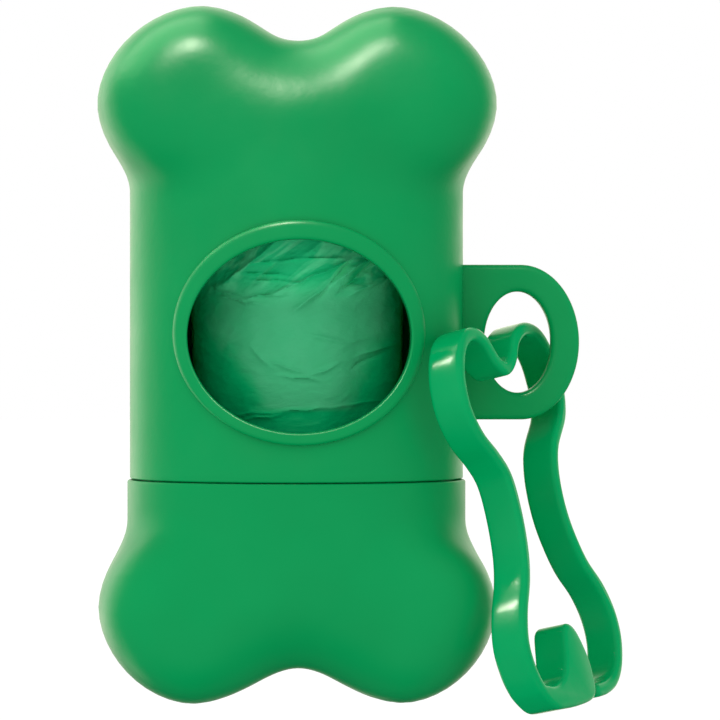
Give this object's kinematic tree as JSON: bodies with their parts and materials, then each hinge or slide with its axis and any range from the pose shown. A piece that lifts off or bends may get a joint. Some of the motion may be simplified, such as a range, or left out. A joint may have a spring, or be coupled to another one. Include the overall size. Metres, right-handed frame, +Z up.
{
  "type": "dog waste bag dispenser",
  "caption": "Small bone-shaped plastic dispenser for a roll of dog-waste bags, with a round window, a pull-off cap, an eye lug and a bone-shaped hanging clip.",
  "frame": {"origin": "middle of the lug's eye, from which the dispenser hangs", "axes": "+Z up along the bone, -Y out of the dispensing window, +X from the body towards the lug"},
  "size_m": [0.0645, 0.0391, 0.0852],
  "materials": {
    "shell_plastic": "satin moulded green plastic",
    "cap_plastic": "satin moulded green plastic",
    "bag_film": "wound thin milky green film",
    "loose_film": "creased thin milky green film",
    "core_board": "plain brown board",
    "clip_plastic": "glossy moulded green plastic",
    "gate_plastic": "glossy moulded green plastic"
  },
  "bodies": {
    "shell": {"upper_shell": "shell_plastic"},
    "cap": {"lower_cap": "cap_plastic"},
    "roll": {"bag_roll": "bag_film", "leading_bag": "loose_film", "roll_core": "core_board"},
    "clip": {"clip_body": "clip_plastic"},
    "gate": {"clip_gate": "gate_plastic"}
  },
  "joints": [
    {"name": "cap_pull", "type": "slide", "parent": "shell", "child": "cap", "axis": [0, 0, -1], "range_m": [0, 0.03]},
    {"name": "roll_spin", "type": "hinge", "parent": "shell", "child": "roll", "pos_m": [-0.0271, 0, -0.0065], "axis": [0, 0, 1], "continuous": true},
    {"name": "clip_swing", "type": "hinge", "parent": "shell", "child": "clip", "pos_m": [-0.0009, 0, 0.0012], "axis": [0, -1, 0], "range_deg": [-4, 25]},
    {"name": "gate_flex", "type": "hinge", "parent": "clip", "child": "gate", "pos_m": [0.00278, -0.0002, -0.01326], "axis": [0.8384, -0.4997, 0.2177], "range_deg": [0, 14], "stiffness_Nm_per_rad": 0.08}
  ]
}
